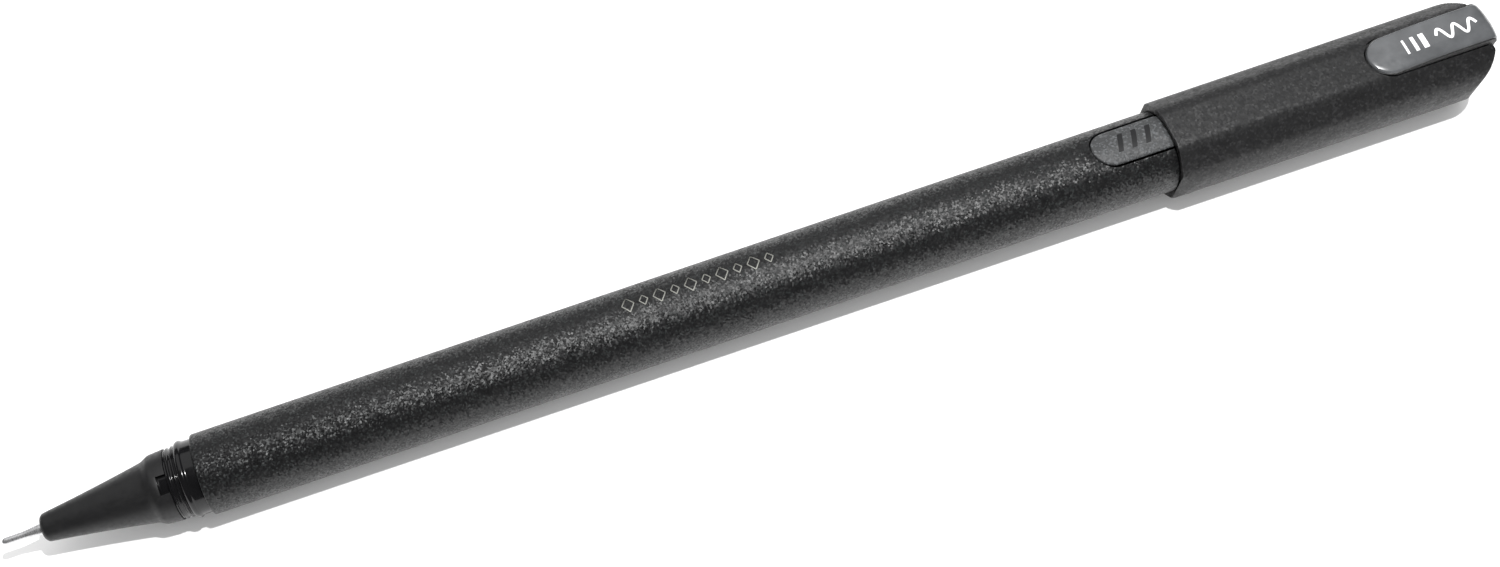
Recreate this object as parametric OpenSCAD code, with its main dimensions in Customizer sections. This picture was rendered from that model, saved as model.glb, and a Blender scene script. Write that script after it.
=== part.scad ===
// Capped stick gel pen with its cap posted on the rear of the barrel.
// The pen lies along X, writing tip at -X, and rests on the lower flat of the cap.
// Places along the pen are stations: millimetres behind the front of the writing ball.

/* [Barrel] */
// Outside diameter of the barrel
barrel_d = 8.0; // [7.9:0.05:8.1]
// Length of barrel seen between the ringed collar and the cap
barrel_len = 96.25; // [96:0.05:104]
// Diameter of the bore that holds the refill
barrel_bore_d = 6.6; // [6.5:0.05:6.7]
// Radial step down to the spigot that the cap is posted on
spigot_step = 0.17; // [0.16:0.01:0.2]
// Length of that spigot
spigot_len = 9.6; // [9:0.1:9.8]
// Width of the grey tongue let into the barrel
tongue_w = 4.0; // [3.6:0.1:4.2]
// Length of tongue seen in front of the cap
tongue_seen = 7.2; // [6:0.1:9]
// Turn of the tongue away from straight up
tongue_turn = 7; // [0:1:12]

/* [Cap] */
// Length of the cap
cap_len = 31.5; // [31:0.1:34]
// Width of the cap across its round sides
cap_d = 9.44; // [9.36:0.02:9.6]
// Height of the cap across its two flats
cap_flats = 8.82; // [8.74:0.02:8.9]
// Width of each flat
cap_flat_w = 4.34; // [4.24:0.02:4.5]
// Radius that rounds the closed end, seen from above
cap_corner_r = 2.8; // [2.6:0.1:3.6]
// Radial running fit of the cap on the spigot
cap_fit = 0.08; // [0.05:0.01:0.09]
// Length of the inlay along the top flat
inlay_len = 11.95; // [11:0.05:12]
// Width of the inlay
inlay_w = 4.1; // [3.8:0.02:4.1]
// Height of the inlay above the flat at the closed end
inlay_rise = 0.95; // [0.2:0.05:1]
// Length over which the inlay rises to that height
inlay_ramp = 9; // [7:0.1:9.5]

/* [Nose] */
// Station of the small front face of the nose cone
nose_front = 4.0; // [3.9:0.05:4.1]
// Station of the rear rim of the nose cone
nose_back = 17.35; // [17.3:0.05:17.4]
// Radius of the nose cone at its rear rim
nose_back_r = 3.54; // [3.5:0.01:3.58]
// Station where the barrel starts, behind the ringed collar
barrel_front = 20.25; // [20.1:0.05:20.6]
// Width of the notch in the rear rim
notch_w = 1.84; // [1.4:0.02:2.2]
// Length of the notch
notch_len = 0.95; // [0.6:0.05:1]
// Turn of the notch away from straight up
notch_turn = 16; // [0:1:30]

/* [Refill] */
// Diameter of the writing ball
ball_d = 0.6; // [0.58:0.01:0.62]
// Outside diameter of the refill tube
tube_d = 5.5; // [5.3:0.05:5.5]
// Wall of the refill tube
tube_wall = 0.45; // [0.4:0.05:0.5]
// Station of the open rear end of the refill tube
tube_back = 105; // [100:0.5:106]
// Station where the ink ends and the grease follower starts
ink_back = 91; // [60:0.5:92]
// Length of the grease follower
follower_len = 5; // [3:0.5:6]

/* [Hidden] */
$fn = 96;
eps = 0.01;
fit = 0.03;
small_fn = 48;

barrel_r = barrel_d / 2;
bore_r = barrel_bore_d / 2;
spigot_r = barrel_r - spigot_step;
cap_mouth = barrel_front + barrel_len;
barrel_back = cap_mouth + spigot_len;
plug_flange = 0.8;
plug_front = cap_mouth + 2;
plug_wall = 0.9;
vent_r = 0.5;
tongue_inner_r = bore_r - 0.2;
tongue_front = cap_mouth - tongue_seen;

pen_len = cap_mouth + cap_len;
cap_r = cap_d / 2;
flat_h = cap_flats / 2;
facet_reach = (cap_flat_w / 2 + flat_h) / sqrt(2);
axis_h = flat_h;
cap_bore_r = spigot_r + cap_fit;
seal_front = 15;
seal_step = 18.2;
seal_back = 23.5;
seal_cup_r = 1.45;
pad_front = barrel_front + 0.05;
pad_back = pad_front + 2;
cap_core_r = 3.12;
cap_end_wall = 2.1;
inlay_proud = 0.5;
inlay_floor = 3.76;
inlay_band = 0.8;
inlay_drop = 2;
inlay_start_lift = 0.06;
inlay_corner = 0.9;

ball_r = ball_d / 2;
needle_r = 0.365;
socket_r = ball_r + 0.02;
tube_r = tube_d / 2;
tube_in_r = tube_r - tube_wall;
skirt_front = nose_back - 1;
skirt_r = 3.0;
lip_r = 2.6;
neck_r = 3.66;
needle_back = 12.4;
spring_front = needle_back + 0.12;
spring_back = 17.6;
tube_front = nose_back + 0.2;
holder_back = tube_front + 7.4;
holder_r = 1.75;
holder_step = 10.4;
collar_back = barrel_front + 10.3;
// Outline of the rings in front of the collar's neck: [step behind the nose cone, radius].
collar_rings = [
    [0.2, 3.4], [0.3, 3.52], [0.42, 3.52], [0.54, 3.4],
    [0.7, 3.4], [0.8, 3.55], [0.92, 3.55], [1.04, 3.42],
    [1.12, 3.5], [1.25, 3.72], [1.42, 3.83], [1.7, 3.84], [1.9, neck_r + 0.02]
];
spring_r = 0.45;
wire_r = 0.07;
spring_turns = 8;
rings_per_turn = 12;
wire_sides = 6;

// Puts a shape that is drawn round the pen's own axis at a station.
module at(station) {
    translate([station - pen_len / 2, 0, axis_h]) children();
}

// A turned solid from an outline of [station, radius] points.
module turned(outline, facets = $fn) {
    at(0) rotate([0, 90, 0]) rotate_extrude($fn = facets) polygon([for (p = outline) [p[1], p[0]]]);
}

// A plain rod between two stations.
module rod(from, to, r, facets = $fn) {
    at(from) rotate([0, 90, 0]) cylinder(h = to - from, r = r, $fn = facets);
}

// A box between two stations, with its width across the pen and two heights above the axis.
module block(from, to, width, low, high) {
    at(from) translate([0, -width / 2, low]) cube([to - from, width, high - low]);
}

// A tab seen from above: round at its front, square at its back.
module tab_outline(from, to, width) {
    translate([from + width / 2, 0]) circle(d = width);
    translate([from + width / 2, -width / 2]) square([to - from - width / 2, width]);
}

// A bar seen from one side, with round corners at its far end only.
module bar_outline(from, to, width, corner) {
    translate([from, -width / 2]) square([to - from - corner, width]);
    translate([from, corner - width / 2]) square([to - from, width - 2 * corner]);
    for (side = [-1, 1])
        translate([to - corner, side * (width / 2 - corner)]) circle(r = corner);
}

// The space that the tongue fills in the barrel's wall, grown by a clearance.
module tongue_space(gap) {
    at(0) rotate([-tongue_turn, 0, 0]) linear_extrude(height = barrel_r + 1)
        tab_outline(tongue_front - gap, barrel_back, tongue_w + 2 * gap);
}

module barrel() color([0.13, 0.13, 0.14]) difference() {
    turned([
        [barrel_front, bore_r + 0.12],
        [barrel_front, barrel_r - 0.15],
        [barrel_front + 0.15, barrel_r],
        [cap_mouth, barrel_r],
        [cap_mouth, spigot_r],
        [barrel_back, spigot_r],
        [barrel_back, bore_r],
        [barrel_front + 0.2, bore_r]
    ]);
    tongue_space(fit);
}

// Closes the barrel's rear and carries the grey tongue.
module rear_plug() color([0.42, 0.43, 0.45]) difference() {
    union() {
        rod(plug_front, barrel_back + eps, bore_r - fit);
        rod(barrel_back, barrel_back + plug_flange, spigot_r);
        intersection() {
            tongue_space(0);
            turned([
                [tongue_front - 1, tongue_inner_r],
                [tongue_front - 1, barrel_r],
                [cap_mouth, barrel_r],
                [cap_mouth, spigot_r],
                [barrel_back + eps, spigot_r],
                [barrel_back + eps, tongue_inner_r]
            ]);
        }
    }
    rod(plug_front - 1, barrel_back - 1, bore_r - fit - plug_wall);
    rod(barrel_back - 2, barrel_back + 2, vent_r);
}

// Radius of the nose cone's slightly hollow flank.
function flank_r(s) = 1.42 + 0.128 * (s - 4.6) + 0.0025 * pow(s - 4.6, 2);

module nose_cone() color([0.2, 0.2, 0.21]) difference() {
    turned(concat(
        [[nose_front, 0.64], [nose_front, 0.9]],
        [for (a = [20:17.5:90]) [nose_front + 0.45 * (1 - cos(a)), 0.9 + 0.48 * sin(a)]],
        [for (s = [4.6:1.3:15]) [s, flank_r(s)]],
        [
            [nose_back - 1.95, 3.24], [nose_back - 1.78, 3.35], [nose_back - 1.6, 3.42],
            [nose_back, nose_back_r], [nose_back, skirt_r + fit], [skirt_front, skirt_r + fit],
            [skirt_front, lip_r], [skirt_front - 0.6, lip_r], [skirt_front - 0.6, holder_r + fit],
            [holder_step, holder_r + fit], [holder_step, 1.22], [6.2, 1.22], [6.2, 0.64]
        ]
    ));
    at(0) rotate([notch_turn, 0, 0])
        translate([nose_back - notch_len, -notch_w / 2, 0]) cube([notch_len + 1, notch_w, nose_back_r + 1]);
}

// Ringed connector: its lip takes the nose cone and its long spigot fits the barrel.
module collar() color([0.07, 0.07, 0.075]) turned(concat(
    [[skirt_front + 0.02, lip_r], [skirt_front + 0.02, skirt_r], [nose_back, skirt_r], [nose_back, 3.4]],
    [for (p = collar_rings) [nose_back + p[0], p[1]]],
    [
        [barrel_front, neck_r], [barrel_front, bore_r - fit],
        [collar_back - 0.4, bore_r - fit], [collar_back, bore_r - 0.2], [collar_back, tube_r + 0.05],
        [tube_front, tube_r + 0.05], [tube_front, lip_r]
    ]
));

// Plastic holder that joins the needle tip to the refill tube.
module tip_holder() color([0.8, 0.8, 0.78]) turned([
    [6.24, 0.63], [6.24, 1.19], [holder_step + 0.04, 1.19], [holder_step + 0.04, holder_r],
    [skirt_front - 0.56, holder_r], [skirt_front - 0.56, lip_r - fit],
    [tube_front, lip_r - fit], [tube_front, tube_in_r - 0.02], [holder_back - 0.3, tube_in_r - 0.02],
    [holder_back, tube_in_r - 0.3], [holder_back, 1.3], [spring_back + 0.7, 1.3],
    [spring_back + 0.7, 0.45], [spring_back + 0.1, 0.45], [spring_back + 0.1, 0.7],
    [needle_back, 0.7], [needle_back, 0.63]
]);

// Steel needle: the ball's socket, a fine tube and a wider rear that is pressed into the holder.
module needle_tip() color([0.75, 0.76, 0.78]) turned([
    [0.17, 0.287], [0.17, 0.3], [0.22, 0.325], [0.32, 0.35], [0.46, needle_r],
    [2.3, needle_r], [2.7, 0.4], [3.3, 0.49], [4.0, 0.57], [4.3, 0.6],
    [needle_back - 0.02, 0.6], [needle_back - 0.02, 0.3], [3.4, 0.3], [2.6, 0.2],
    [ball_d + 0.04, 0.2], [ball_d + 0.04, socket_r], [ball_r, socket_r]
], small_fn);

// Points of one ring of the coil's wire, at an angle along the coil.
function coil_ring(a, pitch) = [
    for (k = [0:wire_sides - 1])
        let (b = 360 * k / wire_sides, r = spring_r + wire_r * cos(b))
        [spring_front + pitch * a / 360 + wire_r * sin(b), r * cos(a), r * sin(a)]
];

module coil() {
    pitch = (spring_back - spring_front) / spring_turns;
    last = spring_turns * rings_per_turn;
    points = [for (i = [0:last]) each coil_ring(360 * i / rings_per_turn, pitch)];
    sides = [
        for (i = [0:last - 1], k = [0:wire_sides - 1])
            let (n = (k + 1) % wire_sides, p = i * wire_sides, q = p + wire_sides)
            [p + k, p + n, q + n, q + k]
    ];
    ends = [
        [for (k = [wire_sides - 1:-1:0]) k],
        [for (k = [0:wire_sides - 1]) last * wire_sides + k]
    ];
    at(0) polyhedron(points, concat(sides, ends), convexity = 10);
}

// Coil behind the needle, with the straight wire that presses the ball forwards.
module ball_spring() color([0.7, 0.71, 0.73]) union() {
    coil();
    rod(ball_d + 0.02, spring_front + wire_r, wire_r, small_fn);
    at(spring_front) rotate([-90, 0, 0]) cylinder(h = spring_r, r = wire_r * 0.8, $fn = small_fn);
}

module refill_tube() color([0.85, 0.86, 0.86, 0.5]) turned([
    [tube_front, tube_in_r], [tube_front, tube_r], [tube_back, tube_r], [tube_back, tube_in_r]
]);

module ink_column() color([0.03, 0.03, 0.04]) rod(holder_back, ink_back, tube_in_r - 0.04);

module grease_follower() color([0.85, 0.8, 0.6, 0.7])
    rod(ink_back, ink_back + follower_len, tube_in_r - 0.04);

module writing_ball() color([0.5, 0.5, 0.52]) at(ball_r) sphere(r = ball_r, $fn = small_fn);

// Round corner of the cap's mouth, seen from above: [depth, half width].
function mouth_arc() = let (rise = 0.84, run = 1.9, sweep = 2 * atan(rise / run), r = run / sin(sweep))
    [for (k = [0:6]) let (a = sweep * (1 - k / 6)) [run - r * sin(a), 4.06 + rise - r * (1 - cos(a))]];

// Outside of the cap: two flats, 45 degree facets beside them and round sides.
module cap_outside() intersection() {
    rod(cap_mouth, pen_len, cap_r);
    block(cap_mouth - 1, pen_len, 2 * cap_d, -flat_h, flat_h);
    at(cap_mouth - 1) rotate([45, 0, 0])
        translate([0, -facet_reach, -facet_reach]) cube([cap_len + 2, 2 * facet_reach, 2 * facet_reach]);
    at(0) translate([0, 0, -cap_d]) linear_extrude(height = 2 * cap_d)
        bar_outline(cap_mouth - 1, pen_len - inlay_proud, cap_d, cap_corner_r);
    at(0) rotate([90, 0, 0]) translate([0, 0, -cap_d]) linear_extrude(height = 2 * cap_d)
        bar_outline(cap_mouth - 1, pen_len - inlay_proud, cap_flats, inlay_corner);
}

module cap_shell() color([0.15, 0.15, 0.16]) difference() {
    intersection() {
        cap_outside();
        at(0) translate([0, 0, -cap_d]) linear_extrude(height = 2 * cap_d) polygon(concat(
            [for (p = mouth_arc()) [cap_mouth + p[0], p[1]]],
            [
                [cap_mouth + 3, cap_d], [pen_len + 1, cap_d],
                [pen_len + 1, -cap_d], [cap_mouth + 3, -cap_d]
            ],
            [for (k = [6:-1:0]) [cap_mouth + mouth_arc()[k][0], -mouth_arc()[k][1]]]
        ));
    }
    turned([
        [cap_mouth - 1, 0], [cap_mouth - 1, cap_bore_r + 0.05], [cap_mouth, cap_bore_r + 0.05],
        [cap_mouth + 0.3, cap_bore_r], [cap_mouth + seal_step, cap_bore_r],
        [cap_mouth + seal_step, cap_core_r], [pen_len - cap_end_wall, cap_core_r],
        [pen_len - cap_end_wall, 0]
    ]);
    at(0) translate([0, 0, inlay_floor - 0.02]) linear_extrude(height = flat_h)
        tab_outline(pen_len - inlay_len - fit, pen_len + 1, inlay_w + 2 * fit);
    block(pen_len - inlay_band - fit, pen_len + 1, inlay_w + 2 * fit, -inlay_drop - fit, flat_h);
}

// Grey inlay on the top flat, carried over the closed end as a band.
module cap_inlay() color([0.5, 0.51, 0.53]) intersection() {
    at(0) translate([0, 0, -cap_d]) linear_extrude(height = 2 * cap_d)
        tab_outline(pen_len - inlay_len, pen_len, inlay_w);
    at(0) rotate([90, 0, 0]) translate([0, 0, -inlay_w]) linear_extrude(height = 2 * inlay_w)
        polygon(concat(
            [
                [pen_len - inlay_band, -inlay_drop], [pen_len - inlay_band, inlay_floor],
                [pen_len - inlay_len, inlay_floor]
            ],
            [for (k = [0:6]) [
                pen_len - inlay_len + inlay_ramp * k / 6,
                flat_h + inlay_rise - (inlay_rise - inlay_start_lift) * pow(1 - k / 6, 2)
            ]],
            [for (a = [90:-15:0]) [
                pen_len - inlay_corner * (1 - cos(a)),
                flat_h + inlay_rise - inlay_corner * (1 - sin(a))
            ]],
            [[pen_len, -inlay_drop]]
        ));
}

// Cup inside the cap that closes over the nose cone when the cap is on the tip.
module inner_cap() color([0.75, 0.75, 0.74]) turned([
    [cap_mouth + seal_front, seal_cup_r + 0.4], [cap_mouth + seal_front, cap_bore_r - fit],
    [cap_mouth + seal_step, cap_bore_r - fit], [cap_mouth + seal_step, cap_core_r - fit],
    [cap_mouth + seal_back, cap_core_r - fit], [cap_mouth + seal_back, 0],
    [cap_mouth + pad_back, 0], [cap_mouth + pad_back, seal_cup_r],
    [cap_mouth + seal_front + 0.8, seal_cup_r]
]);

// Soft pad at the bottom of the cup that the ball is pressed against.
module tip_seal() color([0.25, 0.25, 0.26])
    rod(cap_mouth + pad_front, cap_mouth + pad_back, seal_cup_r - fit);

barrel();
rear_plug();
nose_cone();
collar();
tip_holder();
needle_tip();
ball_spring();
refill_tube();
ink_column();
grease_follower();
writing_ball();
cap_shell();
cap_inlay();
inner_cap();
tip_seal();
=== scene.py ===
"""Looks of a capped stick gel pen, its cap posted on the rear of the barrel.

The pen lies along X with its writing tip at -X. Outlines are written in millimetres as stations, counted from
the front of the writing ball, and as radii or offsets from the pen's own axis.
"""
import math

import bmesh
import bpy
from mathutils import Matrix, Vector


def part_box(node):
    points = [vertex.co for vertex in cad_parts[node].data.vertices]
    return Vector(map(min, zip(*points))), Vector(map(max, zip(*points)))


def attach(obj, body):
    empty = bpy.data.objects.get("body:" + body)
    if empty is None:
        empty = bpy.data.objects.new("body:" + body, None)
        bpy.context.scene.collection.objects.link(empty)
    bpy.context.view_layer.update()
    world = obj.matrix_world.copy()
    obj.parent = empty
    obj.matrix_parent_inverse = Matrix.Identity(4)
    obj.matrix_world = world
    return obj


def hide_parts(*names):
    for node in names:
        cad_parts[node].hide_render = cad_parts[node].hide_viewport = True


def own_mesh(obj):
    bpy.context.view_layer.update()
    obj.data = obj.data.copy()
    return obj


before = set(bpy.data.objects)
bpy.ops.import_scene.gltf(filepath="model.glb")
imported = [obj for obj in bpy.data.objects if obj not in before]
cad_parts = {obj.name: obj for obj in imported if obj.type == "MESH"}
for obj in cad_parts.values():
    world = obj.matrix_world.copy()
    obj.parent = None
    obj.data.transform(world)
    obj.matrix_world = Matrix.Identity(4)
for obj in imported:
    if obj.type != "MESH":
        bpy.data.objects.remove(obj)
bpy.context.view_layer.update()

MM = 0.001
BALL_LO, BALL_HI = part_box("writing_ball")
TIP_X = BALL_LO.x
AXIS_Z = (BALL_LO.z + BALL_HI.z) / 2


def front(node):
    """Station of a CAD node's front."""
    return (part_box(node)[0].x - TIP_X) / MM


def back(node):
    """Station of a CAD node's rear."""
    return (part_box(node)[1].x - TIP_X) / MM


def radius(node):
    """Largest distance of a CAD node from the pen's axis, measured across the pen."""
    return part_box(node)[1].y / MM


def height(node):
    """Height of a CAD node's top above the pen's axis."""
    return (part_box(node)[1].z - AXIS_Z) / MM


# Driving stations and radii, from the frame.
NOSE_FRONT, NOSE_BACK = front("nose_cone"), back("nose_cone")
BARREL_FRONT, BARREL_BACK = front("barrel"), back("barrel")
MOUTH = front("cap_shell")
CAP_BACK = back("cap_shell")
PEN_BACK = back("cap_inlay")
BARREL_R = radius("barrel")
SPIGOT_R = radius("rear_plug")
NOSE_R = radius("nose_cone")
CAP_R = radius("cap_shell")
CAP_FLAT = height("cap_shell")
INLAY_TOP = height("cap_inlay")
TUBE_R = radius("refill_tube")
INK_R = radius("ink_column")
INLAY_HALF = radius("cap_inlay")

# Sizes that no CAD box gives.
BORE_R = 3.3
BARREL_EDGE = 0.2
PUSH_GAP = 0.03
FLANK_START = 4.6
NOTCH_TURN = math.radians(-16)
TONGUE_W = 4.0
TONGUE_TURN = math.radians(7)
CAP_BORE_R = SPIGOT_R + 0.08
CAP_CORE_R = 3.12
SEAL_STEP = 18.2
FLAT_HALF = 2.17
MOUTH_RUN, MOUTH_RISE, MOUTH_START = 1.9, 0.84, 4.08
CAP_CORNER, EDGE_CORNER, RIM_EDGE = 2.8, 0.9, 0.16
INLAY_CORNER, INLAY_RAMP, INLAY_LIFT = 1.2, 9.0, 0.06


# ---------------------------------------------------------------- mesh helpers

def point(station, across, up):
    """A point in the frame from a station and two offsets from the axis, all in millimetres."""
    return Vector((TIP_X + station * MM, across * MM, AXIS_Z + up * MM))


def finish_mesh(name, mesh, sharp=38):
    """Turns a bmesh into an object, smooth except along edges sharper than an angle in degrees."""
    bmesh.ops.recalc_face_normals(mesh, faces=mesh.faces)
    for face in mesh.faces:
        face.smooth = True
    for edge in mesh.edges:
        if len(edge.link_faces) == 2 and edge.calc_face_angle(0) > math.radians(sharp):
            edge.smooth = False
    data = bpy.data.meshes.new(name)
    mesh.to_mesh(data)
    mesh.free()
    obj = bpy.data.objects.new(name, data)
    bpy.context.scene.collection.objects.link(obj)
    return obj


def skin(name, rings, loop=False, sharp=38):
    """Bridges rings of points, each closed round; a ring of one point closes the end."""
    mesh = bmesh.new()
    made = [[mesh.verts.new(p) for p in ring] for ring in rings]
    pairs = list(zip(made, made[1:]))
    if loop:
        pairs.append((made[-1], made[0]))
    for a, b in pairs:
        count = max(len(a), len(b))
        for i in range(count):
            j = (i + 1) % count
            corners = [a[i % len(a)], a[j % len(a)], b[j % len(b)], b[i % len(b)]]
            corners = [v for k, v in enumerate(corners) if v not in corners[:k]]
            mesh.faces.new(corners)
    return finish_mesh(name, mesh, sharp)


def rounded(outline, steps=4):
    """Rounds the corners of a closed outline of (station, radius, rounding) points."""
    points = []
    for i, (x, r, size) in enumerate(outline):
        here = Vector((x, r))
        before = Vector(outline[i - 1][:2])
        after = Vector(outline[(i + 1) % len(outline)][:2])
        if size <= 0:
            points.append((x, r))
            continue
        a = here + (before - here).normalized() * min(size, (before - here).length * 0.45)
        b = here + (after - here).normalized() * min(size, (after - here).length * 0.45)
        for k in range(steps + 1):
            t = k / steps
            p = a * (1 - t) ** 2 + here * 2 * t * (1 - t) + b * t ** 2
            points.append((p.x, p.y))
    return points


def circle_ring(station, r, segments):
    """Points of a circle round the axis; a zero radius gives the one point on it."""
    if r < 1e-6:
        return [point(station, 0, 0)]
    turns = [2 * math.pi * k / segments for k in range(segments)]
    return [point(station, r * math.sin(t), r * math.cos(t)) for t in turns]


def turned(name, outline, segments=160, loop=True, steps=4):
    """A turned solid. A looped outline is a ring's section; an open one starts and ends on the axis."""
    points = rounded(outline, steps)
    return skin(name, [circle_ring(x, r, segments) for x, r in points], loop)


def cut(piece, tool):
    """Takes one solid out of another and drops the tool."""
    modifier = piece.modifiers.new("cut", "BOOLEAN")
    modifier.operation = "DIFFERENCE"
    modifier.solver = "EXACT"
    modifier.object = tool
    bpy.context.view_layer.update()
    shape = piece.evaluated_get(bpy.context.evaluated_depsgraph_get())
    mesh = bmesh.new()
    mesh.from_mesh(shape.to_mesh())
    piece.modifiers.clear()
    bpy.data.objects.remove(tool)
    return mesh


def soften_edges(mesh, width, angle=50):
    """Bevels the edges of a bmesh that are sharper than an angle."""
    limit = math.radians(angle)
    edges = [e for e in mesh.edges if len(e.link_faces) == 2 and e.calc_face_angle(0) > limit]
    bmesh.ops.bevel(
        mesh, geom=edges, offset=width * MM, segments=2, profile=0.5, affect="EDGES", clamp_overlap=True
    )


def replace_mesh(piece, mesh, sharp=38):
    """Gives a piece the shape of a bmesh, with its shading set by angle."""
    shaped = finish_mesh(piece.name + "_new", mesh, sharp)
    name = piece.name
    bpy.data.objects.remove(piece)
    shaped.name = name
    return shaped


def plate(name, ring, profile, place, sharp=38):
    """A pad. Its outline ring(inset) is stepped along (inset, height) and laid out by place(u, v, height).

    A ring runs from the middle of its front down one side, and back up the other as its mirror image, so that
    the innermost ring is closed by joining its two sides.
    """
    mesh = bmesh.new()
    made = [[mesh.verts.new(place(u, v, h)) for u, v in ring(inset)] for inset, h in profile]
    count = len(made[0])
    for a, b in zip(made, made[1:]):
        for i in range(count):
            j = (i + 1) % count
            mesh.faces.new([a[i], a[j], b[j], b[i]])
    for end in (made[0], made[-1]):
        for i in range(count // 2 - 1):
            mesh.faces.new([end[i], end[i + 1], end[count - 2 - i], end[count - 1 - i]])
    return finish_mesh(name, mesh, sharp)


def box_tool(name, start, end, half, low, high, place):
    """A box to cut with, between two stations, two sides and two heights, laid out by place(u, v, height)."""
    section = ((-half, low), (half, low), (half, high), (-half, high))
    rings = [[place(u, v, h) for v, h in section] for u in (start, end)]
    middles = [sum(ring, Vector()) / 4 for ring in rings]
    return skin(name, [[middles[0]], rings[0], rings[1], [middles[1]]])


def tab_ring(start, end, width, corner=0.0, nose_steps=28, side_steps=60):
    """ring(inset) of a tab that is round at its start and square, with small corners, at its end."""
    def ring(inset):
        half = width / 2 - inset
        far = end - inset
        middle = start + width / 2
        small = max(corner - inset, 0)
        side = []
        for k in range(nose_steps):
            a = math.pi / 2 * (k + 0.5) / nose_steps
            side.append((middle - half * math.cos(a), half * math.sin(a)))
        for k in range(side_steps):
            side.append((middle + (far - small - middle) * (k + 0.5) / side_steps, half))
        for k in range(7):
            a = math.pi / 2 * k / 6
            r = min(small, half)
            side.append((far - r + r * math.sin(a), half - r + r * math.cos(a)))
        for k in range(1, 5):
            side.append((far, max(half - min(small, half), 0) * (1 - k / 4.5)))
        return side + [(u, -v) for u, v in reversed(side)]
    return ring


def on_barrel(r, turn):
    """place() that wraps a pad round the barrel at a turn from straight up."""
    def place(u, v, h):
        a = turn + v / r
        return point(u, (r + h) * math.sin(a), (r + h) * math.cos(a))
    return place


def ribbon(name, stops, place, lift=0.012, sink=0.03, lanes=4):
    """A thin printed or raised mark along stops of (u, v, half width, direction of the width)."""
    mesh = bmesh.new()
    rows = []
    for u, v, half, (du, dv) in stops:
        row = []
        for k in range(lanes + 1):
            t = 2 * k / lanes - 1
            row.append((u + du * half * t, v + dv * half * t))
        rows.append(row)
    top = [[mesh.verts.new(place(u, v, lift)) for u, v in row] for row in rows]
    low = [[mesh.verts.new(place(u, v, -sink)) for u, v in row] for row in rows]
    for grid in (top, low):
        for a, b in zip(grid, grid[1:]):
            for k in range(lanes):
                mesh.faces.new([a[k], a[k + 1], b[k + 1], b[k]])
    for i in range(len(rows) - 1):
        for k in (0, lanes):
            mesh.faces.new([top[i][k], top[i + 1][k], low[i + 1][k], low[i][k]])
    for i in (0, len(rows) - 1):
        for k in range(lanes):
            mesh.faces.new([top[i][k], top[i][k + 1], low[i][k + 1], low[i][k]])
    return finish_mesh(name, mesh)


def joined(name, pieces):
    """One object from several."""
    mesh = bmesh.new()
    for piece in pieces:
        mesh.from_mesh(piece.data)
        bpy.data.objects.remove(piece)
    return finish_mesh(name, mesh)


# ---------------------------------------------------------------- materials

def new_material(name):
    """A node material and its Principled shader."""
    material = bpy.data.materials.new(name)
    material.use_nodes = True
    return material, material.node_tree, material.node_tree.nodes["Principled BSDF"]


def noise(tree, scale, detail=3.0, roughness=0.5):
    """Fine noise in the piece's own space; scale is in cells per metre."""
    coords = tree.nodes.new("ShaderNodeTexCoord")
    texture = tree.nodes.new("ShaderNodeTexNoise")
    texture.inputs["Scale"].default_value = scale
    texture.inputs["Detail"].default_value = detail
    texture.inputs["Roughness"].default_value = roughness
    tree.links.new(coords.outputs["Object"], texture.inputs["Vector"])
    return texture.outputs["Fac"]


def flakes(tree, scale):
    """A random colour for each small cell."""
    coords = tree.nodes.new("ShaderNodeTexCoord")
    cells = tree.nodes.new("ShaderNodeTexVoronoi")
    cells.inputs["Scale"].default_value = scale
    tree.links.new(coords.outputs["Object"], cells.inputs["Vector"])
    return cells.outputs["Color"]


def remap(tree, value, low, high, to_low, to_high):
    """A value's range low to high taken to another range, and held there."""
    node = tree.nodes.new("ShaderNodeMapRange")
    node.inputs["From Min"].default_value = low
    node.inputs["From Max"].default_value = high
    node.inputs["To Min"].default_value = to_low
    node.inputs["To Max"].default_value = to_high
    tree.links.new(value, node.inputs["Value"])
    return node.outputs["Result"]


def mixed(tree, factor, a, b):
    """A mix of two colours by a factor."""
    node = tree.nodes.new("ShaderNodeMix")
    node.data_type = "RGBA"
    node.inputs["A"].default_value = (*a, 1)
    node.inputs["B"].default_value = (*b, 1)
    tree.links.new(factor, node.inputs["Factor"])
    return node.outputs["Result"]


def bump(tree, shader, height_value, strength, distance, normal=None):
    """Bump from a height, in metres, on top of a normal if one is given."""
    node = tree.nodes.new("ShaderNodeBump")
    node.inputs["Strength"].default_value = strength
    node.inputs["Distance"].default_value = distance
    tree.links.new(height_value, node.inputs["Height"])
    if normal is not None:
        tree.links.new(normal, node.inputs["Normal"])
    tree.links.new(node.outputs["Normal"], shader.inputs["Normal"])


def tilted_normal(tree, colour, amount):
    """The surface normal, tipped a little at random in each flake."""
    geometry = tree.nodes.new("ShaderNodeNewGeometry")
    centred = tree.nodes.new("ShaderNodeVectorMath")
    centred.operation = "SUBTRACT"
    centred.inputs[1].default_value = (0.5, 0.5, 0.5)
    scaled = tree.nodes.new("ShaderNodeVectorMath")
    scaled.operation = "SCALE"
    scaled.inputs["Scale"].default_value = amount
    added = tree.nodes.new("ShaderNodeVectorMath")
    unit = tree.nodes.new("ShaderNodeVectorMath")
    unit.operation = "NORMALIZE"
    tree.links.new(colour, centred.inputs[0])
    tree.links.new(centred.outputs[0], scaled.inputs[0])
    tree.links.new(geometry.outputs["Normal"], added.inputs[0])
    tree.links.new(scaled.outputs[0], added.inputs[1])
    tree.links.new(added.outputs[0], unit.inputs[0])
    return unit.outputs[0]


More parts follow.
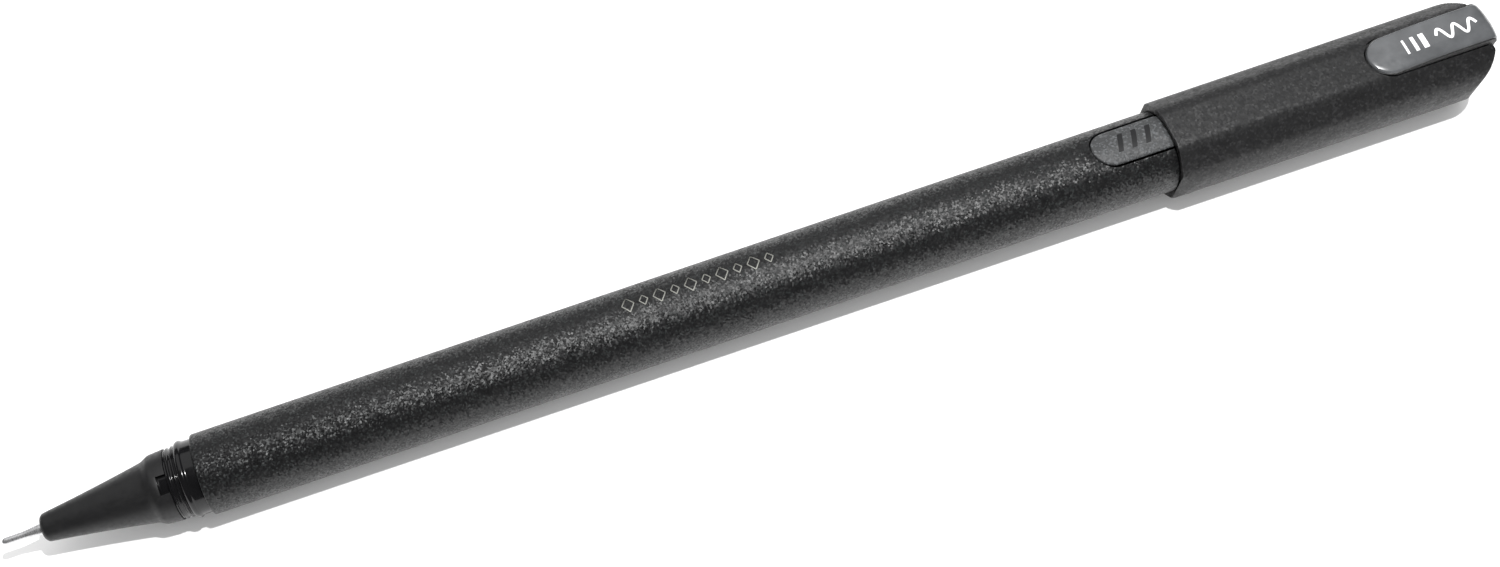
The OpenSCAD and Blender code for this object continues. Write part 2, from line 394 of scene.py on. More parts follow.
def speckled_plastic(name, base, fleck, rough, flake_scale, tilt, grain=0.4):
    """Satin moulded plastic with fine flakes that catch the light one by one."""
    material, tree, shader = new_material(name)
    colour = flakes(tree, flake_scale)
    split = tree.nodes.new("ShaderNodeSeparateColor")
    tree.links.new(colour, split.inputs["Color"])
    bright = remap(tree, split.outputs["Red"], 0.72, 1.0, 0.0, 1.0)
    tree.links.new(mixed(tree, bright, base, fleck), shader.inputs["Base Color"])
    cloud = noise(tree, 900, 4)
    tree.links.new(remap(tree, cloud, 0.3, 0.7, rough - 0.05, rough + 0.05), shader.inputs["Roughness"])
    normal = tilted_normal(tree, colour, tilt)
    bump(tree, shader, noise(tree, 14000, 2), grain, 0.00002, normal)
    return material


def plain_plastic(name, base, rough, grain=0.15, coat=0.0, specular=0.5):
    """Moulded plastic: faint clouding, uneven gloss and fine grain."""
    material, tree, shader = new_material(name)
    cloud = noise(tree, 700, 4)
    darker = tuple(c * 0.85 for c in base)
    lighter = tuple(c * 1.15 for c in base)
    tree.links.new(
        mixed(tree, remap(tree, cloud, 0.3, 0.7, 0, 1), darker, lighter), shader.inputs["Base Color"]
    )
    uneven = noise(tree, 2600, 3)
    tree.links.new(remap(tree, uneven, 0.3, 0.7, rough * 0.8, rough * 1.2), shader.inputs["Roughness"])
    shader.inputs["Coat Weight"].default_value = coat
    shader.inputs["Coat Roughness"].default_value = 0.08
    shader.inputs["Specular IOR Level"].default_value = specular
    bump(tree, shader, noise(tree, 9000, 3), grain, 0.00001)
    return material


def milky_plastic(name, base, rough, through):
    """Translucent plastic or gel."""
    material = plain_plastic(name, base, rough)
    shader = material.node_tree.nodes["Principled BSDF"]
    shader.inputs["Transmission Weight"].default_value = through
    shader.inputs["IOR"].default_value = 1.49
    return material


def metal(name, base, rough, along=2500, across=30000, metallic=1.0):
    """Metal with fine marks, which run round the pen's axis unless both scales are the same."""
    material, tree, shader = new_material(name)
    coords = tree.nodes.new("ShaderNodeTexCoord")
    stretch = tree.nodes.new("ShaderNodeMapping")
    stretch.inputs["Scale"].default_value = (across, along, along)
    texture = tree.nodes.new("ShaderNodeTexNoise")
    texture.inputs["Scale"].default_value = 1.0
    texture.inputs["Detail"].default_value = 3.0
    tree.links.new(coords.outputs["Object"], stretch.inputs["Vector"])
    tree.links.new(stretch.outputs["Vector"], texture.inputs["Vector"])
    marks = texture.outputs["Fac"]
    shader.inputs["Metallic"].default_value = metallic
    lighter = tuple(min(c * 1.1, 1) for c in base)
    darker = tuple(c * 0.85 for c in base)
    tone = mixed(tree, remap(tree, marks, 0.3, 0.7, 0, 1), darker, lighter)
    tree.links.new(tone, shader.inputs["Base Color"])
    tree.links.new(remap(tree, marks, 0.3, 0.7, rough * 0.7, rough * 1.4), shader.inputs["Roughness"])
    bump(tree, shader, marks, 0.1, 0.000004)
    return material


def foil(name, base):
    """Hot-stamped foil, a little broken up where it sits on the grain."""
    return metal(name, base, 0.28, 12000, 12000)


def wet_ink(name):
    """Black gel ink, wet and faintly clouded."""
    material, tree, shader = new_material(name)
    cloud = noise(tree, 500, 3)
    tree.links.new(
        mixed(tree, remap(tree, cloud, 0.3, 0.7, 0, 1), (0.004, 0.004, 0.006), (0.010, 0.010, 0.014)),
        shader.inputs["Base Color"],
    )
    tree.links.new(remap(tree, cloud, 0.3, 0.7, 0.08, 0.16), shader.inputs["Roughness"])
    return material


def grease(name):
    """Clear amber gel."""
    return milky_plastic(name, (0.80, 0.66, 0.36), 0.18, 0.7)


# ---------------------------------------------------------------- pieces

def give(piece, material, body, slot, *nodes):
    """Dresses a piece, ties it to its body and hides the CAD nodes it stands for. The slot argument is not
    used.
    """
    piece.data.materials.clear()
    piece.data.materials.append(material)
    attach(piece, body)
    if nodes:
        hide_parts(*nodes)
    return piece


def tongue_cutter(gap):
    """Pad that cuts the slot for the tongue, wider than it by a gap on each side."""
    ring = tab_ring(front("rear_plug") - gap, BARREL_BACK + 2, TONGUE_W + 2 * gap)
    closed = TONGUE_W / 2 + gap - 0.02
    profile = [(closed, -2), (0, -2), (0, 1), (closed, 1)]
    return plate("slot_tool", ring, profile, flat_place(TONGUE_TURN, BARREL_R))


def flat_place(turn, level):
    """place() for a flat pad at a height, turned about the pen's axis."""
    def place(u, v, h):
        across = v * math.cos(turn) + (level + h) * math.sin(turn)
        up = (level + h) * math.cos(turn) - v * math.sin(turn)
        return point(u, across, up)
    return place


def make_barrel():
    """Speckled tube, stepped down to a spigot at its rear, with the slot for the tongue."""
    near_tongue = front("rear_plug") - 1.5
    tube = turned("barrel_tube", [
        (BARREL_FRONT, BORE_R + 0.12, 0.04), (BARREL_FRONT, BARREL_R, BARREL_EDGE),
        (near_tongue, BARREL_R, 0),
        (MOUTH, BARREL_R, 0.1), (MOUTH, SPIGOT_R, 0), (BARREL_BACK, SPIGOT_R, 0.08),
        (BARREL_BACK, BORE_R, 0.08), (near_tongue, BORE_R, 0), (BARREL_FRONT + 0.2, BORE_R, 0),
    ], segments=192)
    mesh = cut(tube, tongue_cutter(0.09))
    soften_edges(mesh, 0.05)
    return replace_mesh(tube, mesh)


def make_tongue():
    """Grey tongue in the barrel's wall, with the plug it belongs to and the plug's vent hole."""
    ring = tab_ring(front("rear_plug"), BARREL_BACK, TONGUE_W)
    edge = [(0.16, 0.0), (0.09, -0.02), (0.04, -0.06), (0.01, -0.12), (0, -0.2)]
    steps = [1.98, 1.5, 1.0, 0.6, 0.3]
    low = -0.85

    def place(u, v, h):
        step = BARREL_R - SPIGOT_R if u > MOUTH else 0
        return on_barrel(BARREL_R, TONGUE_TURN)(u, v, h - (step if h > low else 0))

    profile = [(s, low) for s in steps] + [(0, low)] + edge[::-1] + [(s, 0.0) for s in steps[::-1]]
    tab = plate("tongue_tab", ring, profile, place)
    sleeve_front, sleeve_r = MOUTH + 2, BORE_R - PUSH_GAP
    wall, vent = 0.9, 0.5
    end = back("rear_plug")
    sleeve = turned("plug_sleeve", [
        (sleeve_front, sleeve_r - wall, 0.1), (sleeve_front, sleeve_r, 0.25), (BARREL_BACK, sleeve_r, 0),
        (BARREL_BACK, SPIGOT_R, 0), (end, SPIGOT_R, 0.25), (end, vent, 0.12),
        (BARREL_BACK - 1, vent, 0.1), (BARREL_BACK - 1, sleeve_r - wall, 0.1),
    ], segments=128)
    return joined("tongue_and_plug", [tab, sleeve])


def make_tongue_marks():
    """Three plain slanted strokes let into the tongue, in place of lettering."""
    first, pitch = MOUTH - 4.4, 1.35
    lean, reach, half = 0.7, 1.9, 0.25
    strokes = []
    for k in range(3):
        middle = first + pitch * k
        stops = []
        for i in range(9):
            t = i / 8 - 0.5
            stops.append((middle + lean * t, reach * t, half, (1, 0)))
        strokes.append(ribbon(f"stroke_{k}", stops, on_barrel(BARREL_R, TONGUE_TURN + 0.02), lift=0.008))
    return joined("tongue_strokes", strokes)


def make_foil_row():
    """A row of thin foil diamonds in outline, in place of lettering."""
    start, length, count = 42.55 + BARREL_FRONT, 15.5, 10
    place = on_barrel(BARREL_R, math.radians(14))
    marks = []
    for k in range(count):
        middle = start + length * (k + 0.5) / count
        half_u, half_v = (0.6, 0.8) if k % 2 == 0 else (0.42, 0.56)
        tips = [(half_u, 0), (0, half_v), (-half_u, 0), (0, -half_v)]
        for i, (u, v) in enumerate(tips):
            next_u, next_v = tips[(i + 1) % 4]
            size = math.hypot(next_u - u, next_v - v)
            side = ((next_v - v) / size, (u - next_u) / size)
            stops = []
            for j in range(5):
                t = j / 4
                stops.append((middle + u + (next_u - u) * t, v + (next_v - v) * t, 0.05, side))
            marks.append(ribbon(f"diamond_{k}_{i}", stops, place, lanes=2))
    return joined("foil_row", marks)


def flank(s):
    """Radius of the nose cone's slightly hollow flank."""
    d = s - FLANK_START
    return 1.42 + 0.128 * d + 0.0025 * d * d


def make_nose_cone():
    """Cone with a slightly hollow flank, a shoulder and a notch in its rear rim."""
    face = NOSE_FRONT + 0.15
    outline = [(face, 0.64, 0.05), (face, 1.1, 0.25), (face + 0.27, 1.36, 0.2)]
    outline += [(s, flank(s), 0.4) for s in (FLANK_START + 1.3 * k for k in range(9))]
    outline += [
        (NOSE_BACK - 1.95, 3.24, 0.2), (NOSE_BACK - 1.6, 3.42, 0.3), (NOSE_BACK, NOSE_R, 0.07),
        (NOSE_BACK, 3.03, 0.05), (NOSE_BACK - 1, 3.03, 0), (NOSE_BACK - 1, 2.6, 0),
        (NOSE_BACK - 1.6, 2.6, 0), (NOSE_BACK - 1.6, 1.78, 0), (10.4, 1.78, 0), (10.4, 1.22, 0),
        (6.2, 1.22, 0), (6.2, 0.64, 0),
    ]
    cone = turned("nose_cone_shell", outline, segments=160)
    half, depth = 0.92, 0.95
    tool = box_tool("notch_tool", NOSE_BACK - depth, NOSE_BACK + 1, half, 2, 5, flat_place(NOTCH_TURN, 0))
    mesh = cut(cone, tool)
    soften_edges(mesh, 0.05, 60)
    return replace_mesh(cone, mesh)


def make_collar():
    """Ringed connector between nose cone and barrel."""
    lip, skirt, neck, spigot = 2.6, 3.0, 3.66, BORE_R - PUSH_GAP
    n = NOSE_BACK
    end = back("collar")
    return turned("ringed_collar", [
        (n - 0.98, lip, 0), (n - 0.98, skirt, 0.05), (n + 0.02, skirt, 0), (n + 0.02, 3.4, 0.05),
        (n + 0.2, 3.4, 0.05), (n + 0.3, 3.52, 0.08), (n + 0.42, 3.52, 0.08), (n + 0.54, 3.4, 0.05),
        (n + 0.7, 3.4, 0.05), (n + 0.8, 3.55, 0.08), (n + 0.92, 3.55, 0.08), (n + 1.04, 3.42, 0.05),
        (n + 1.12, 3.5, 0.05), (n + 1.25, 3.72, 0.08), (n + 1.42, 3.83, 0.1), (n + 1.7, 3.84, 0.1),
        (n + 1.9, neck + 0.02, 0.12), (BARREL_FRONT, neck, 0.05), (BARREL_FRONT, spigot, 0),
        (end - 0.4, spigot, 0.2), (end, BORE_R - 0.2, 0.06), (end, TUBE_R + 0.05, 0),
        (n + 0.2, TUBE_R + 0.05, 0), (n + 0.2, lip, 0),
    ], segments=192)


def make_tip_holder():
    """Holder that joins the needle to the refill tube."""
    a, e = front("tip_holder"), back("tip_holder")
    flange = NOSE_BACK + 0.2
    inner = INK_R + 0.02
    return turned("refill_connector", [
        (a, 0.63, 0), (a, 1.19, 0.08), (10.44, 1.19, 0.05), (10.44, 1.75, 0.08), (flange - 1.76, 1.75, 0.05),
        (flange - 1.76, 2.57, 0.08), (flange, 2.57, 0.04), (flange, inner, 0), (e - 0.3, inner, 0.15),
        (e, inner - 0.28, 0.1), (e, 1.3, 0.08), (18.3, 1.3, 0), (18.3, 0.45, 0), (17.7, 0.45, 0),
        (17.7, 0.7, 0), (12.4, 0.7, 0), (12.4, 0.63, 0),
    ], segments=96)


def make_needle():
    """Steel needle with its ball seat and wider rear."""
    tube, seat = 0.365, (BALL_HI.z - BALL_LO.z) / 2 / MM + 0.02
    e = back("needle_tip")
    return turned("steel_needle", [
        (0.17, 0.287, 0), (0.17, 0.3, 0.02), (0.3, 0.345, 0.06), (0.5, tube, 0.1), (2.2, tube, 0.4),
        (3.2, 0.5, 0.3), (4.0, 0.6, 0.2), (e, 0.6, 0.08), (e, 0.3, 0), (3.4, 0.3, 0), (2.6, 0.2, 0),
        (0.64, 0.2, 0), (0.64, seat, 0), (0.3, seat, 0),
    ], segments=96)


def make_ball():
    """The writing ball."""
    r = (BALL_HI.z - BALL_LO.z) / 2 / MM
    outline = [(r - r * math.cos(math.pi * k / 32), r * math.sin(math.pi * k / 32), 0) for k in range(33)]
    return turned("carbide_ball", outline, segments=64, loop=False)


def make_spring():
    """Coil behind the needle, its wire carried forwards along the axis to the ball."""
    wire, coil_r = 0.07, 0.45
    first = front("needle_tip") + 0.47
    start, end = back("needle_tip") + 0.14, 17.6
    path = [(first + (start - first) * k / 30, 0.0, 0.0) for k in range(30)]
    turns, per_turn = 8, 24
    for k in range(1, turns * per_turn + 1):
        a = 2 * math.pi * k / per_turn
        out = coil_r * min(k / 8, 1)
        path.append((start + (end - start) * k / (turns * per_turn), out * math.sin(a), out * math.cos(a)))
    points = [point(*p) for p in path]
    rings = [[points[0]]]
    side = Vector((0, 1, 0))
    for i in range(len(points)):
        along = (points[min(i + 1, len(points) - 1)] - points[max(i - 1, 0)]).normalized()
        side = (side - along * side.dot(along)).normalized()
        other = along.cross(side)
        ring = []
        for k in range(10):
            a = 2 * math.pi * k / 10
            ring.append(points[i] + (side * math.cos(a) + other * math.sin(a)) * wire * MM)
        rings.append(ring)
    rings.append([points[-1]])
    return skin("tip_spring", rings)


def make_tube():
    """Translucent tube of the refill."""
    a, e = front("refill_tube"), back("refill_tube")
    return turned("ink_tube", [
        (a, INK_R + 0.04, 0.05), (a, TUBE_R, 0.1), (e, TUBE_R, 0.12), (e, INK_R + 0.04, 0.08),
    ], segments=128)


def make_ink():
    """The ink, from the holder to the grease."""
    a, e = front("ink_column"), back("ink_column")
    outline = [(a, 0, 0), (a, INK_R, 0.1), (e - 0.3, INK_R, 0), (e, INK_R - 0.25, 0.2), (e, 0, 0)]
    return turned("ink_fill", outline, segments=96, loop=False)


def make_follower():
    """Grease a hair behind the ink, with a hollow rear face."""
    a, e = front("grease_follower") + 0.03, back("grease_follower")
    r, hollow = radius("grease_follower"), 1.1
    outline = [(a, 0, 0), (a, r - 0.25, 0.1), (a + 0.3, r, 0.1), (e, r, 0.05)]
    outline += [(e - hollow * (1 - (k / 6) ** 2), r * k / 6 * 0.98, 0) for k in range(5, -1, -1)]
    return turned("grease_slug", outline, segments=96, loop=False)


def smooth_least(values, sharpness=190):
    """The least of several distances, blended so that the edge between two of them is slightly rounded."""
    least = min(values)
    return least * sum((least / v) ** sharpness for v in values) ** (-1 / sharpness)


def arc_rise(left, corner, half):
    """Half width of a bar with a round corner, at a distance left to its end."""
    if left >= corner:
        return half
    return half - corner + math.sqrt(max(corner ** 2 - (corner - left) ** 2, 0))


def mouth_half_width(depth):
    """Half width of the rounded mouth, seen from above, at a depth behind it."""
    sweep = 2 * math.atan(MOUTH_RISE / MOUTH_RUN)
    r = MOUTH_RUN / math.sin(sweep)
    if depth >= MOUTH_RUN:
        return MOUTH_START + MOUTH_RISE + 6 * (depth - MOUTH_RUN)
    return MOUTH_START + MOUTH_RISE - r + math.sqrt(r * r - (MOUTH_RUN - depth) ** 2)


def cap_radius(station, a):
    """Distance of the cap's outside from the axis at a station and an angle from straight up."""
    tiny = 1e-4
    up, across = abs(math.cos(a)) + tiny, abs(math.sin(a)) + tiny
    left, depth = CAP_BACK - station, station - MOUTH
    reach = (FLAT_HALF + CAP_FLAT) / math.sqrt(2)
    facet = abs(math.cos(abs(math.atan2(across, up)) - math.pi / 4))
    return smooth_least([
        CAP_R,
        min(arc_rise(left, EDGE_CORNER, CAP_FLAT), arc_rise(depth, RIM_EDGE, CAP_FLAT)) / up,
        arc_rise(depth, RIM_EDGE, reach) / facet,
        arc_rise(left, CAP_CORNER, CAP_R) / across,
        mouth_half_width(depth) / across,
    ])


def cap_angles():
    """Angles of the cap's section, close together at the creases beside the flats."""
    crease = math.degrees(math.atan2(FLAT_HALF, CAP_FLAT))
    beside = (-1.6, -1.0, -0.6, -0.35, -0.15, 0, 0.15, 0.35, 0.6, 1.0, 1.6)
    angles = {round(3.0 * k, 3) for k in range(120)}
    for centre in (crease, 180 - crease, 180 + crease, 360 - crease):
        near = {a for a in angles if abs(a - centre) < 1.9}
        angles -= near
        angles |= {round(centre + d, 3) for d in beside}
    return [math.radians(a) for a in sorted(angles)]


def make_cap_shell():
    """Cap with two flats, facets and round sides, bored out, with the recess for the inlay."""
    angles = cap_angles()

    def outside(station, shrink=1.0):
        ring = []
        for a in angles:
            r = cap_radius(station, a) * shrink
            ring.append(point(station, r * math.sin(a), r * math.cos(a)))
        return ring

    def inside(station, r):
        return [point(station, r * math.sin(a), r * math.cos(a)) for a in angles]

    end_wall, core = 2.1, CAP_CORE_R
    step, deep = MOUTH + SEAL_STEP, PEN_BACK - end_wall
    rings = [[point(deep, 0, 0)], inside(deep, core - 0.2), inside(deep - 0.15, core), inside(step, core)]
    rings += [inside(step, CAP_BORE_R), inside(MOUTH + 0.35, CAP_BORE_R)]
    rings += [inside(MOUTH + 0.15, CAP_BORE_R + 0.04), inside(MOUTH + 0.07, CAP_BORE_R + 0.1)]
    depths = [0.01, 0.04, 0.08, 0.12, RIM_EDGE] + [RIM_EDGE + 1.8 * (k / 14) ** 1.4 for k in range(1, 15)]
    depths += [2.3, 3, 5, 8, 12, 16, 20, 24, 27]
    stations = [MOUTH + d for d in depths]
    stations += [CAP_BACK - CAP_CORNER * (1 - math.sin(math.pi / 2 * k / 30)) for k in range(27)]
    stations += [CAP_BACK - EDGE_CORNER * (1 - math.sin(math.pi / 2 * k / 16)) for k in range(8, 17)]
    stations = sorted(set(round(s, 4) for s in stations))
    rings += [outside(s) for s in stations]
    rings += [outside(CAP_BACK, s) for s in (0.9, 0.6, 0.3)] + [[point(CAP_BACK, 0, 0)]]
    shell = skin("cap_body", rings)
    gap, floor = 0.09, 3.74
    width = 2 * INLAY_HALF + 2 * gap
    ring = tab_ring(front("cap_inlay") - gap, PEN_BACK + 1, width)
    closed = width / 2 - 0.02
    tool = plate("recess_tool", ring, [(closed, floor), (0, floor), (0, 6), (closed, 6)], flat_place(0, 0))
    mesh = cut(shell, tool)
    shell = replace_mesh(shell, mesh)
    band_depth, band_low = 0.83, -2.1
    tool = box_tool("band_tool", PEN_BACK - band_depth, PEN_BACK + 1, width / 2, band_low, floor + 0.2, point)
    mesh = cut(shell, tool)
    soften_edges(mesh, 0.045, 60)
    return replace_mesh(shell, mesh)


def inlay_height(u):
    """Height and slope of the inlay's top at a distance behind its front: a rise that eases into a level."""
    rise = INLAY_TOP - CAP_FLAT - INLAY_LIFT
    to_go = max(1 - max(u, 0) / INLAY_RAMP, 0)
    return INLAY_TOP - rise * to_go ** 2, 2 * rise / INLAY_RAMP * to_go


def inlay_run():
    """Length of the inlay's top, from its front to the corner at the closed end."""
    return PEN_BACK - INLAY_CORNER - front("cap_inlay")


def on_inlay(u, v, h):
    """place() along the top, round the corner and down the closed end; u starts at the inlay's front."""
    run, corner = inlay_run(), INLAY_CORNER
    arc = corner * (math.pi / 2)
    if u <= run:
        z, slope = inlay_height(u)
        x, turn = front("cap_inlay") + u, math.atan(slope)
    elif u <= run + arc:
        a = (u - run) / corner
        x, z, turn = PEN_BACK - corner + corner * math.sin(a), INLAY_TOP - corner + corner * math.cos(a), -a
    else:
        x, z, turn = PEN_BACK, INLAY_TOP - corner - (u - run - arc), -math.pi / 2
    return point(x - h * math.sin(turn), v, z + h * math.cos(turn))


def crowned(u, v, h):
    """place() for the inlay's top, a little higher along its middle."""
    crown = 0.24 * (v / INLAY_HALF) ** 2
    return on_inlay(u, v, h - (crown if h > -0.35 else 0))


def inlay_ring(grow=0.0):
    """Outline of the inlay laid out flat, from its front to the end of the band."""
    width = 2 * INLAY_HALF
    length = inlay_run() + INLAY_CORNER * math.pi / 2 + INLAY_TOP - INLAY_CORNER + 2
    return tab_ring(-grow, length, width + 2 * grow, corner=0.5, side_steps=110)


def make_inlay():
    """Smoky inlay on the top flat, carried over the closed end as a band."""
    top = [(0.08, -0.3), (0.1, -0.18), (0.14, -0.08), (0.22, -0.02)]
    top += [(s, 0) for s in (0.34, 0.6, 1, 1.5, 2)]
    low = -0.8
    profile = [(s, low) for s in (2.0, 1.5, 1.0, 0.5)] + [(0.08, low)] + top
    return plate("smoky_inlay", inlay_ring(), profile, crowned)


def make_inlay_rim():
    """The raised seat round the inlay, moulded in the cap's black."""
    low, lip = -1.2, -0.32
    profile = [(s, low) for s in (2.0, 1.5, 1.0, 0.5)] + [(0.0, low), (0.0, lip - 0.1), (0.02, lip - 0.03)]
    profile += [(0.06, lip), (0.14, lip), (0.3, lip - 0.2)]
    profile += [(s, lip - 0.25) for s in (0.8, 1.5, 2.0)]
    return plate("inlay_seat", inlay_ring(), profile, on_inlay)


def make_inlay_marks():
    """Three bars of growing thickness and a flowing line, in place of lettering."""
    marks = []
    for k, half in enumerate((0.1, 0.16, 0.24)):
        u = 3.5 + 0.85 * k
        stops = [(u, 1.5 * (i / 8 - 0.5), half, (1, 0)) for i in range(9)]
        marks.append(ribbon(f"bar_{k}", stops, crowned))
    start, length, waves, reach = 6.4, 3.9, 2.5, 0.6
    stops = []
    for i in range(73):
        t = i / 72
        slope = reach * 2 * math.pi * waves / length * math.cos(2 * math.pi * waves * t)
        size = math.hypot(1, slope)
        across = reach * math.sin(2 * math.pi * waves * t)
        stops.append((start + length * t, across, 0.13, (-slope / size, 1 / size)))
    marks.append(ribbon("flowing_line", stops, crowned))
    return joined("inlay_print", marks)


def make_inner_cap():
    """Cup in the cap that closes over the nose."""
    a, e = front("inner_cap"), back("inner_cap")
    r, cup, core = CAP_BORE_R - PUSH_GAP, 1.45, CAP_CORE_R - PUSH_GAP
    step = MOUTH + SEAL_STEP
    pad = back("tip_seal")
    return turned("seal_cup", [
        (pad, 0, 0), (pad, cup, 0.1), (a + 0.8, cup, 0.3), (a, cup + 0.4, 0.1), (a, r, 0.15), (step, r, 0.05),
        (step, core, 0), (e, core, 0.2), (e, 0, 0),
    ], segments=96, loop=False)


def make_seal():
    """Soft pad at the bottom of the cap's inner cup."""
    a, e = front("tip_seal"), back("tip_seal")
    r = radius("tip_seal")
    outline = [(a + 0.1, 0, 0), (a, r * 0.5, 0.2), (a + 0.1, r, 0.1), (e, r, 0.05), (e, 0, 0)]
    return turned("soft_seal", outline, segments=64, loop=False)


def dress_pen():
    """Makes every piece and ties it to its body."""
    black = speckled_plastic("barrel_black", (0.0045, 0.0045, 0.005), (0.018, 0.021, 0.021), 0.43, 6600, 0.42)
    cap_black = speckled_plastic("cap_black", (0.0075, 0.0075, 0.008), (0.02, 0.02, 0.021), 0.5, 5200, 0.2)
    grey = speckled_plastic("tongue_grey", (0.04, 0.0415, 0.043), (0.11, 0.115, 0.12), 0.5, 6600, 0.3)
    satin = plain_plastic("nose_satin", (0.01, 0.01, 0.0105), 0.46, grain=0.3, specular=0.4)
    gloss = plain_plastic("collar_gloss", (0.006, 0.006, 0.0065), 0.15, grain=0.05, specular=0.42)
    smoky = plain_plastic("inlay_smoky", (0.085, 0.088, 0.092), 0.22, grain=0.2, coat=0.5)
    natural = plain_plastic("natural_white", (0.72, 0.72, 0.68), 0.35)
    connector = plain_plastic("connector_white", (0.70, 0.71, 0.69), 0.4)
    print_white = plain_plastic("print_white", (0.86, 0.86, 0.86), 0.4)
    print_dark = plain_plastic("print_dark", (0.012, 0.012, 0.013), 0.5, specular=0.3)
    steel = metal("needle_steel", (0.7, 0.7, 0.71), 0.3, metallic=0.85)
    wire = metal("spring_wire", (0.55, 0.56, 0.58), 0.2, 9000, 9000)
    carbide = metal("ball_carbide", (0.42, 0.42, 0.44), 0.12, 9000, 9000)
    silver = foil("foil_silver", (0.5, 0.5, 0.46))
    rubber = plain_plastic("seal_rubber", (0.05, 0.05, 0.05), 0.7)

    give(make_barrel(), black, "barrel", "barrel_plastic", "barrel")
    give(make_tongue(), grey, "barrel", "tongue_plastic", "rear_plug")
    give(make_tongue_marks(), print_dark, "barrel", "tongue_plastic")
    give(make_foil_row(), silver, "barrel", "barrel_plastic")
    give(make_nose_cone(), satin, "nose", "nose_plastic", "nose_cone")
    give(make_collar(), gloss, "nose", "collar_plastic", "collar")
    give(make_tip_holder(), connector, "nose", "natural_plastic", "tip_holder")
    give(make_needle(), steel, "nose", "tip_steel", "needle_tip")
    give(make_spring(), wire, "nose", "spring_steel", "ball_spring")
    clear = milky_plastic("tube_clear", (0.9, 0.92, 0.93), 0.12, 0.9)
    give(make_tube(), clear, "nose", "tube_plastic", "refill_tube")
    ink = give(make_ink(), wet_ink("ink_black"), "nose", "ink", "ink_column")
    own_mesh(ink)
    give(make_follower(), grease("grease_amber"), "follower", "grease", "grease_follower")
    give(make_ball(), carbide, "ball", "ball_carbide", "writing_ball")
    give(make_cap_shell(), cap_black, "cap", "cap_plastic", "cap_shell")
    give(make_inlay(), smoky, "cap", "inlay_plastic", "cap_inlay")
    give(make_inlay_rim(), cap_black, "cap", "cap_plastic")
    give(make_inlay_marks(), print_white, "cap", "inlay_plastic")
    give(make_inner_cap(), natural, "cap", "natural_plastic", "inner_cap")
    give(make_seal(), rubber, "cap", "seal_rubber", "tip_seal")


# ---------------------------------------------------------------- camera, floor and light

VIEW_RISE = math.radians(65.65)
VIEW_ROLL = math.radians(18.69)
VIEW_DISTANCE = 0.1694
VIEW_STATION, VIEW_ABOVE = 47.8, 9.93
SENSOR, LENS = 36.0, 42.58
VIEW_SHIFT = 0.2047


def make_camera():
    """A close lens square to the pen, looking down on it from its near side and rolled with it.

    The shift is there because the pen lies well to one side of the lens's own axis.
    """
    right = Vector((1, 0, 0))
    above = Vector((0, math.sin(VIEW_RISE), math.cos(VIEW_RISE)))
    out = Vector((0, -math.cos(VIEW_RISE), math.sin(VIEW_RISE)))
    rolled_right = right * math.cos(VIEW_ROLL) - above * math.sin(VIEW_ROLL)
    rolled_up = right * math.sin(VIEW_ROLL) + above * math.cos(VIEW_ROLL)
    turn = Matrix((rolled_right, rolled_up, out)).transposed().to_4x4()
    place = point(VIEW_STATION, 0, 0) + above * VIEW_ABOVE * MM + out * VIEW_DISTANCE
    data = bpy.data.cameras.new("camera")
    data.sensor_width = SENSOR
    data.lens = LENS
    data.shift_x = VIEW_SHIFT
    data.clip_start, data.clip_end = 0.01, 20
    camera = bpy.data.objects.new("camera", data)
    camera.matrix_world = Matrix.Translation(place) @ turn
    bpy.context.scene.collection.objects.link(camera)
    bpy.context.scene.camera = camera


def make_floor():
    """A pale table that the pen touches at the cap's mouth and at the front of the barrel."""
    rest = point(MOUTH + RIM_EDGE, 0, 0)
    rise = (AXIS_Z - BARREL_R * MM) / ((MOUTH + RIM_EDGE - BARREL_FRONT - BARREL_EDGE) * MM)
    size = 3.0
    mesh = bmesh.new()
    bmesh.ops.create_grid(mesh, x_segments=8, y_segments=8, size=size)
    floor = finish_mesh("floor", mesh)
    floor.matrix_world = Matrix.Translation((rest.x, 0, 0)) @ Matrix.Rotation(math.atan(rise), 4, "Y")
    material, tree, shader = new_material("floor_white")
    cloud = noise(tree, 6, 2)
    tree.links.new(
        mixed(tree, remap(tree, cloud, 0.3, 0.7, 0, 1), (0.86, 0.86, 0.86), (0.88, 0.88, 0.88)),
        shader.inputs["Base Color"],
    )
    shader.inputs["Roughness"].default_value = 0.6
    shader.inputs["Specular IOR Level"].default_value = 0.2
    floor.data.materials.append(material)


LAMP_POWER, LAMP_HEIGHT, LAMP_RADIUS = 3.7, 0.31, 0.004
SURROUND_LIGHT = 0.82


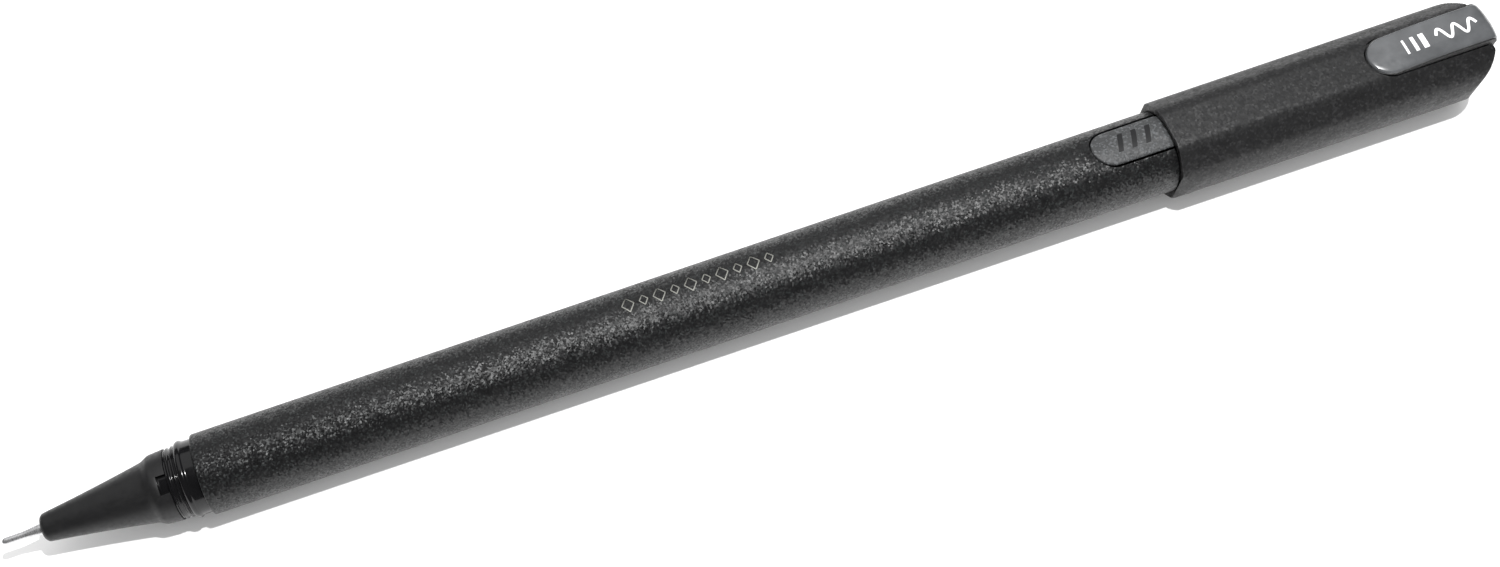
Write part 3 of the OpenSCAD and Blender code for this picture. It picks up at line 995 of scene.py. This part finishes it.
def area_light(name, elevation, distance, width, length, power):
    """A soft box beside the pen, at an elevation counted from the near side over the top to the far side."""
    data = bpy.data.lights.new(name, "AREA")
    data.shape = "RECTANGLE"
    data.size, data.size_y = length, width
    data.energy = power
    light = bpy.data.objects.new(name, data)
    a = math.radians(elevation)
    place = Vector((0, -math.cos(a) * distance, math.sin(a) * distance))
    light.location = place
    light.rotation_mode = "QUATERNION"
    back_side = place.normalized()
    side = Vector((1, 0, 0))
    light.rotation_quaternion = Matrix((side, back_side.cross(side), back_side)).transposed().to_quaternion()
    bpy.context.scene.collection.objects.link(light)


def make_lights():
    """A small lamp over the cap's mouth, a wide soft box on the far side and a dim surround."""
    lamp = bpy.data.lights.new("key", "POINT")
    lamp.energy = LAMP_POWER
    lamp.shadow_soft_size = LAMP_RADIUS
    key = bpy.data.objects.new("key", lamp)
    key.location = point(MOUTH, 0, 0) + Vector((0, 0, LAMP_HEIGHT))
    bpy.context.scene.collection.objects.link(key)
    area_light("top_box", elevation=128, distance=0.9, width=0.9, length=1.2, power=2.7)
    world = bpy.data.worlds.new("studio")
    bpy.context.scene.world = world
    world.use_nodes = True
    tree = world.node_tree
    tree.nodes.clear()
    seen = tree.nodes.new("ShaderNodeBackground")
    seen.inputs["Color"].default_value = (1, 1, 1, 1)
    seen.inputs["Strength"].default_value = 1.0
    lit = tree.nodes.new("ShaderNodeBackground")
    lit.inputs["Color"].default_value = (1, 1, 1, 1)
    lit.inputs["Strength"].default_value = SURROUND_LIGHT
    path = tree.nodes.new("ShaderNodeLightPath")
    choose = tree.nodes.new("ShaderNodeMixShader")
    out = tree.nodes.new("ShaderNodeOutputWorld")
    tree.links.new(path.outputs["Is Camera Ray"], choose.inputs["Fac"])
    tree.links.new(lit.outputs[0], choose.inputs[1])
    tree.links.new(seen.outputs[0], choose.inputs[2])
    tree.links.new(choose.outputs[0], out.inputs["Surface"])
    world.cycles_visibility.glossy = False


make_camera()
make_floor()
make_lights()
dress_pen()

bpy.context.scene.view_settings.view_transform = "Standard"
